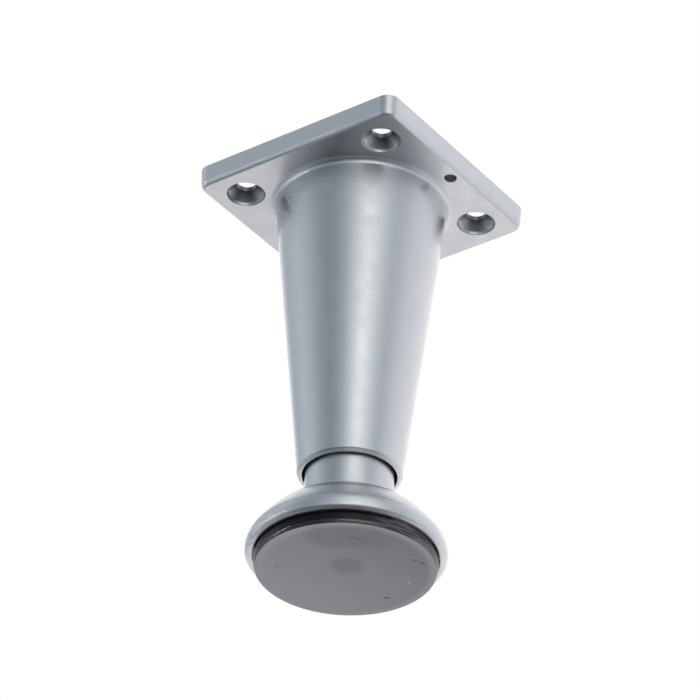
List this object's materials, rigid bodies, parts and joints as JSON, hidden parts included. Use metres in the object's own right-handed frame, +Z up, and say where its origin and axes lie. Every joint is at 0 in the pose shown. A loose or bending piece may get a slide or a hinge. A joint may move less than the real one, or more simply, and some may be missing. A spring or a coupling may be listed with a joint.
{
  "type": "adjustable cabinet leg",
  "caption": "Tapered round furniture leg on a square screw plate, with a screw-adjusted domed foot and a round floor pad.",
  "frame": {"origin": "on the leg's axis at the floor, under the pad", "axes": "+Z up the leg's axis to the mounting face; X and Y along the plate's sides, with the small blind hole near the middle of the -Y side"},
  "size_m": [0.0606, 0.0606, 0.1124],
  "materials": {
    "lacquered_casting": "satin silver lacquer on a casting",
    "zinc_plated_steel": "bright zinc plate",
    "pad_plastic": "moulded, glossy side and dull grey floor face"
  },
  "bodies": {
    "plate_and_column": {"leg": "lacquered_casting", "captive_nut": "zinc_plated_steel"},
    "pad": {"floor_pad": "pad_plastic"},
    "foot_and_screw": {"foot": "lacquered_casting", "adjusting_screw": "zinc_plated_steel"}
  },
  "joints": [
    {"name": "foot_height", "type": "slide", "parent": "plate_and_column", "child": "pad", "axis": [0, 0, 1], "range_m": [-0.012, 0.008]},
    {"name": "foot_turn", "type": "hinge", "parent": "pad", "child": "foot_and_screw", "pos_m": [0, 0, 0.03], "axis": [0, 0, 1], "range_deg": [-2880, 1920]}
  ],
  "couplings": [
    {"joint": "foot_height", "follows": "foot_turn", "m_per_rad": 0.00023873}
  ]
}
